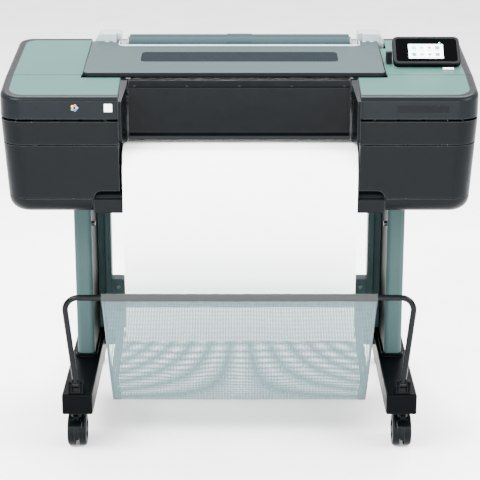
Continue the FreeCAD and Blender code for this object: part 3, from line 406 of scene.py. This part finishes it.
def finish_for(name):
    """The finish of the longest listed word that starts the node's name without its side, or is all of it."""
    plain = name.replace("left_", "").replace("right_", "")
    best, found = "", None
    for finish, words in FINISHES.items():
        for word in words:
            if (plain.startswith(word) or name == word) and len(word) > len(best):
                best, found = word, finish
    return found


for name, part in nodes.items():
    part.data.materials.clear()
    part.data.materials.append(finish_for(name))
print("finishes", len(FINISHES), "parts dressed", len(nodes))

# %% [markdown]
# ## Mesh tools
# New pieces are built from points and faces. `grid_faces` joins a grid of points into quads, and
# `piece_from` can carry a map in metres, so that a weave keeps its real pitch.

# %% Mesh helpers


def piece_from(name, points, faces, finish, body, uv=None):
    mesh = bpy.data.meshes.new(name)
    mesh.from_pydata([tuple(p) for p in points], [], faces)
    if uv:
        layer = mesh.uv_layers.new(name="cloth_metres")
        for loop in mesh.loops:
            layer.data[loop.index].uv = uv[loop.vertex_index]
    mesh.materials.append(finish)
    for polygon in mesh.polygons:
        polygon.use_smooth = True
    made = bpy.data.objects.new(name, mesh)
    bpy.context.scene.collection.objects.link(made)
    if body:
        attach(made, body)
    return made


def grid_faces(across, along, closed=False):
    """Quads of a grid of (across + 1) by (along + 1) points; a closed one joins its two sides."""
    row = across if closed else across + 1
    faces = []
    for j in range(along):
        for i in range(across):
            a, b = j * row + i, j * row + (i + 1) % row
            faces.append((a, b, b + row, a + row))
    return faces


floor_corners = [(-9, -7, 0), (9, -7, 0), (9, 9, 0), (-9, 9, 0)]
floor = piece_from("studio_floor", floor_corners, [(0, 1, 2, 3)], floor_paint, None)
print("floor ready")

# %% [markdown]
# ## The mesh bin
# One length of net hangs from the bar, folds at the bottom and runs back up to the crossbar. It is cut
# wider at the bar than at the fold. Cloth simulation lets the two free spans sag. The sewn rows at the
# bar and the crossbar are held fast, and the rows near the fold a little less.

# %% The mesh bin
BAR_Y, BAR_Z, SLEEVE_R = -0.345, 0.436, 0.0099
# The net's line from the bar to the crossbar, as (y, z) points, with the half width at each.
LINE = [(-0.3362, 0.4285), (-0.2455, 0.1150), (-0.2400, 0.1115), (-0.1200, 0.1235), (0.1040, 0.2380)]
HALF_WIDTH = [0.350, 0.334, 0.334, 0.350, 0.343]
ACROSS, ALONG = 56, 60
RIPPLE = 0.0012
MOVE_LIMIT = 0.02
FOLD_BAND, FOLD_HOLD = 0.012, 0.85
SAG_FRAMES, QUICK_FRAMES = 18, 8
FRONT_HEM, REAR_HEM, CROSSBAR_HEM = 0.007, 0.022, 0.016
SLEEVE_HALF, SLEEVE_STEPS, SLEEVE_RING = 0.350, 120, 28
SLEEVE_CREASE = 0.0006
FLAP_HALF, FLAP_DROP, FLAP_ACROSS, FLAP_ALONG = 0.351, 0.026, 100, 8
FLAP_WAVE, FLAP_LEAN, FLAP_OUT, FLAP_BELOW = 0.0016, 0.27, 0.0096, 0.006


def along_line(share):
    """Point, half width and run length at a share of the net's length."""
    spans = [math.dist(a, b) for a, b in zip(LINE, LINE[1:])]
    reach = share * sum(spans)
    run = reach
    for k, span in enumerate(spans):
        if reach <= span or k == len(spans) - 1:
            t = min(reach / span, 1.0)
            y = LINE[k][0] + (LINE[k + 1][0] - LINE[k][0]) * t
            z = LINE[k][1] + (LINE[k + 1][1] - LINE[k][1]) * t
            return y, z, HALF_WIDTH[k] + (HALF_WIDTH[k + 1] - HALF_WIDTH[k]) * t, run
        reach -= span


net_points, net_uv = [], []
for j in range(ALONG + 1):
    y, z, half, run = along_line(j / ALONG)
    for i in range(ACROSS + 1):
        x = -half + 2 * half * i / ACROSS
        net_points.append((x, y, z + RIPPLE * noise.noise((x * 9, run * 9, 1.7))))
        net_uv.append((x + 1.0, run))
net_length = along_line(1.0)[3]
net = piece_from("bin_net", net_points, grid_faces(ACROSS, ALONG), net_cloth, None, net_uv)

fold_run = math.dist(LINE[0], LINE[1])
held = net.vertex_groups.new(name="held")
for j in range(ALONG + 1):
    run = along_line(j / ALONG)[3]
    row = range(j * (ACROSS + 1), (j + 1) * (ACROSS + 1))
    if j == 0 or j == ALONG:
        held.add(list(row), 1.0, "REPLACE")
    elif abs(run - fold_run) < FOLD_BAND:
        held.add(list(row), FOLD_HOLD, "REPLACE")
sag = net.modifiers.new("sag", "CLOTH")
sag.settings.quality = 6
sag.settings.mass = 0.12
sag.settings.tension_stiffness = 40
sag.settings.compression_stiffness = 20
sag.settings.shear_stiffness = 12
sag.settings.bending_stiffness = 0.6
sag.settings.vertex_group_mass = "held"
sag.collision_settings.use_collision = False
scene = bpy.context.scene
frames = SAG_FRAMES
sag.point_cache.frame_end = frames
for step in range(1, frames + 1):
    scene.frame_set(step)
shape = net.evaluated_get(bpy.context.evaluated_depsgraph_get()).to_mesh()
settled = [v.co.copy() for v in shape.vertices]
net.modifiers.remove(sag)
scene.frame_set(1)
for vertex, place, start in zip(net.data.vertices, settled, net_points):
    moved = place - Vector(start)
    if moved.length > MOVE_LIMIT:
        moved *= MOVE_LIMIT / moved.length
    vertex.co = Vector(start) + moved
print("net of", len(settled), "points, lowest", round(min(p.z for p in settled), 4))


def ribbon(name, line, widths, lift, finish, steer):
    """Sewn binding: a strip with a rounded section along a line of points, widened along steer."""
    ring = 10
    points, uv = [], []
    run = 0.0
    for j, (here, width) in enumerate(zip(line, widths)):
        step = (line[min(j + 1, len(line) - 1)] - line[max(j - 1, 0)]).normalized()
        side = Vector(steer)
        up = step.cross(side).normalized()
        run += (here - line[max(j - 1, 0)]).length
        for i in range(ring):
            turn = 2 * math.pi * i / ring
            points.append(here + side * (math.cos(turn) * width / 2) + up * (math.sin(turn) * lift))
            uv.append((i * width / ring, run))
    return piece_from(name, points, grid_faces(ring, len(line) - 1, True), finish, None, uv)


hems = []
for name, column in (("left", 0), ("right", ACROSS)):
    edge_line = [net.data.vertices[j * (ACROSS + 1) + column].co.copy() for j in range(ALONG + 1)]
    inset = 1 if column == 0 else -1
    widths = [FRONT_HEM if along_line(j / ALONG)[3] < fold_run else REAR_HEM for j in range(ALONG + 1)]
    edge_line = [point + Vector((inset * width / 2, 0, 0)) for point, width in zip(edge_line, widths)]
    hems.append(ribbon("bin_net_hem_" + name, edge_line, widths, 0.0009, flap_cloth, (1, 0, 0)))
last_row = net.data.vertices[ALONG * (ACROSS + 1):]
rear_line = [vertex.co + Vector((0, -0.001, 0)) for vertex in last_row]
rear_widths = [CROSSBAR_HEM] * (ACROSS + 1)
hems.append(ribbon("bin_net_rear_hem", rear_line, rear_widths, 0.0012, hem_cloth, (0, 0.30, 0.954)))

sleeve_points, sleeve_uv = [], []
for j in range(SLEEVE_STEPS + 1):
    x = -SLEEVE_HALF + 2 * SLEEVE_HALF * j / SLEEVE_STEPS
    for i in range(SLEEVE_RING):
        turn = 2 * math.pi * i / SLEEVE_RING
        crease = SLEEVE_CREASE * noise.noise((x * 70, math.cos(turn) * 2, math.sin(turn) * 2))
        r = SLEEVE_R + crease
        sleeve_points.append((x, BAR_Y + r * math.cos(turn), BAR_Z + r * math.sin(turn)))
        sleeve_uv.append((x + 1.0, turn * SLEEVE_R))
sleeve_faces = grid_faces(SLEEVE_RING, SLEEVE_STEPS, True)
sleeve = piece_from("bin_net_sleeve", sleeve_points, sleeve_faces, hem_cloth, "bin_frame", sleeve_uv)

flap_points, flap_uv = [], []
for j in range(FLAP_ALONG + 1):
    drop = FLAP_DROP * j / FLAP_ALONG
    for i in range(FLAP_ACROSS + 1):
        x = -FLAP_HALF + 2 * FLAP_HALF * i / FLAP_ACROSS
        wave = FLAP_WAVE * noise.noise((x * 16, 3.1, drop * 30)) * j / FLAP_ALONG
        y = BAR_Y + FLAP_OUT + drop * FLAP_LEAN + wave + FLAP_WAVE
        flap_points.append((x, y, BAR_Z - FLAP_BELOW - drop))
        flap_uv.append((x + 1.0, drop))
flap_faces = grid_faces(FLAP_ACROSS, FLAP_ALONG)
flap = piece_from("bin_net_flap", flap_points, flap_faces, flap_cloth, "bin_frame", flap_uv)

for part in [net] + hems:
    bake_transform(part)
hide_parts("bin_fabric_front", "bin_fabric_rear")

# %% [markdown]
# ## Small marks
# Five ink-coloured dots sit on the left ink cover, and a small bright catch lies under the screen.

# %% Small marks
DOT_X, DOT_Z, DOT_Y = -0.4164, 0.8971, -0.2150
RING_R, DOT_R, DOT_SIDES = 0.0062, 0.0036, 16
DOT_PROUD, DOT_SUNK = 0.0004, 0.0002
INK = [(0.02, 0.30, 0.42), (0.42, 0.02, 0.16), (0.55, 0.38, 0.01), (0.05, 0.28, 0.06), (0.10, 0.03, 0.20)]
for k, tint in enumerate(INK):
    turn = 2 * math.pi * k / len(INK)
    cx, cz = DOT_X + RING_R * math.cos(turn), DOT_Z + RING_R * math.sin(turn)
    turns = [side * 2 * math.pi / DOT_SIDES for side in range(DOT_SIDES)]
    ring = [(cx + DOT_R * math.cos(a), cz + DOT_R * math.sin(a)) for a in turns]
    front = [(x, DOT_Y - DOT_PROUD, z) for x, z in ring]
    back = [(x, DOT_Y + DOT_SUNK, z) for x, z in ring]
    faces = [tuple(range(DOT_SIDES)), tuple(reversed(range(DOT_SIDES, 2 * DOT_SIDES)))]
    for i in range(DOT_SIDES):
        after = (i + 1) % DOT_SIDES
        faces.append((i, i + DOT_SIDES, after + DOT_SIDES, after))
    ink = plastic("ink_dot_%d" % k, tint, 0.35, tuple(c * 1.3 for c in tint), 900.0, 0.05, 0.2)
    piece_from("ink_dot_%d" % k, front + back, faces, ink, "left_ink_lid")

catch_metal = metal("catch_metal", (0.62, 0.64, 0.64), 0.25, 0.3, Metallic=0.8)
catch_points = []
CATCH = [(0.0, 0.0), (0.0020, 0.0030), (0.0045, 0.0038), (0.0105, 0.0034), (0.0125, 0.0012),
         (0.0125, -0.0004)]
CATCH_Y, CATCH_Z, CATCH_THICK, END_DROP = -0.0235, 0.9560, 0.0008, 0.0006
for x, drop in ((0.5340, END_DROP), (0.5348, 0.0), (0.5618, 0.0), (0.5626, END_DROP)):
    for dy, dz in CATCH:
        catch_points.append((x, CATCH_Y + dy, CATCH_Z + max(dz - drop, -END_DROP)))
catch_faces = grid_faces(len(CATCH) - 1, 3)
catch = piece_from("screen_catch", catch_points, catch_faces, catch_metal, "machine")
catch.modifiers.new("shell", "SOLIDIFY").thickness = CATCH_THICK
print("ink dots", len(INK), "and one catch")

# %% [markdown]
# ## Touch screen picture
# The lit picture is a thin plate just proud of the glass, with plain round and square signs on it and
# one small sign above its right end.

# %% Touch screen picture
HINGE_Y, HINGE_Z, TILT = 0.0410, 0.9824, math.radians(37.0)
GLASS_TOP, PLATE_THICK = 0.0198, 0.00012
PICTURE_LIFT, SIGN_LIFT = 0.00005, 0.0002


def on_screen(x, v, lift):
    """Point on the tilted glass: x along the machine, v up the glass, lift out of it."""
    z = GLASS_TOP + lift
    across = HINGE_Y + v * math.cos(TILT) - z * math.sin(TILT)
    height = HINGE_Z + v * math.sin(TILT) + z * math.cos(TILT)
    return (x, across, height)


def lit_finish(name, color, power):
    made = bpy.data.materials.new(name)
    made.use_nodes = True
    tree = made.node_tree
    shader = tree.nodes["Principled BSDF"]
    cells = cloud(tree, 1500.0, detail=1.0)
    glow = mixed(tree, cells.outputs["Fac"], tuple(c * 0.9 for c in color) + (1,), color + (1,))
    wire(tree, glow, shader.inputs["Base Color"])
    wire(tree, glow, shader.inputs["Emission Color"])
    shader.inputs["Emission Strength"].default_value = power
    shader.inputs["Roughness"].default_value = 0.3
    return made


def plate(name, outline, lift, finish):
    """Thin plate on the glass from an outline of (x, v) points, with a small edge."""
    low = [on_screen(x, v, lift) for x, v in outline]
    high = [on_screen(x, v, lift + PLATE_THICK) for x, v in outline]
    n = len(outline)
    faces = [tuple(range(n, 2 * n)), tuple(reversed(range(n)))]
    faces += [(i, (i + 1) % n, n + (i + 1) % n, n + i) for i in range(n)]
    made = piece_from(name, low + high, faces, finish, "touch_screen")
    for polygon in made.data.polygons:
        polygon.use_smooth = False


def round_box(x0, x1, v0, v1, r, steps=5):
    outline = []
    corners = ((x1 - r, v1 - r, 0), (x0 + r, v1 - r, 90), (x0 + r, v0 + r, 180), (x1 - r, v0 + r, 270))
    for cx, cv, turn in corners:
        for k in range(steps + 1):
            a = math.radians(turn + 90 * k / steps)
            outline.append((cx + r * math.cos(a), cv + r * math.sin(a)))
    return outline


LEFT, RIGHT, BOTTOM, TOP = 0.4470, 0.5385, -0.0300, 0.0200
COLUMNS, FIRST_SHARE, STEP_SHARE = 4, 0.16, 0.225
FIRST_DROP, ROW_DROP = 0.0125, 0.0235
SIGN_SIZES = (0.0062, 0.0055, 0.0045, 0.0056)
SQUARE_SIGNS = (3, 7)
CAPTION_HALF, CAPTION_BOTTOM, CAPTION_TOP = 0.006, 0.0105, 0.0092
screen_white = lit_finish("screen_white", (0.90, 1.0, 0.96), 1.9)
plate("screen_picture", round_box(LEFT, RIGHT, BOTTOM, TOP, 0.0012), PICTURE_LIFT, screen_white)
teal = lit_finish("sign_teal", (0.05, 0.62, 0.48), 0.75)
slate = lit_finish("sign_slate", (0.05, 0.15, 0.14), 0.35)
rose = lit_finish("sign_rose", (0.50, 0.03, 0.16), 0.5)
signs = [teal, teal, rose, slate, slate, teal, slate, slate]
for k, tint in enumerate(signs):
    cx = LEFT + (RIGHT - LEFT) * (FIRST_SHARE + STEP_SHARE * (k % COLUMNS))
    cv = TOP - FIRST_DROP - ROW_DROP * (k // COLUMNS)
    r = SIGN_SIZES[k % COLUMNS]
    corner = r * (0.35 if k in SQUARE_SIGNS else 0.999)
    plate("screen_sign_%d" % k, round_box(cx - r, cx + r, cv - r, cv + r, corner), SIGN_LIFT, tint)
    caption = round_box(cx - CAPTION_HALF, cx + CAPTION_HALF, cv - CAPTION_BOTTOM, cv - CAPTION_TOP, 0.0006)
    plate("screen_caption_%d" % k, caption, SIGN_LIFT, slate)
status = round_box(RIGHT - 0.011, RIGHT - 0.006, TOP + 0.002, TOP + 0.007, 0.0024)
plate("screen_status", status, PICTURE_LIFT, teal)
print("screen signs", len(signs))
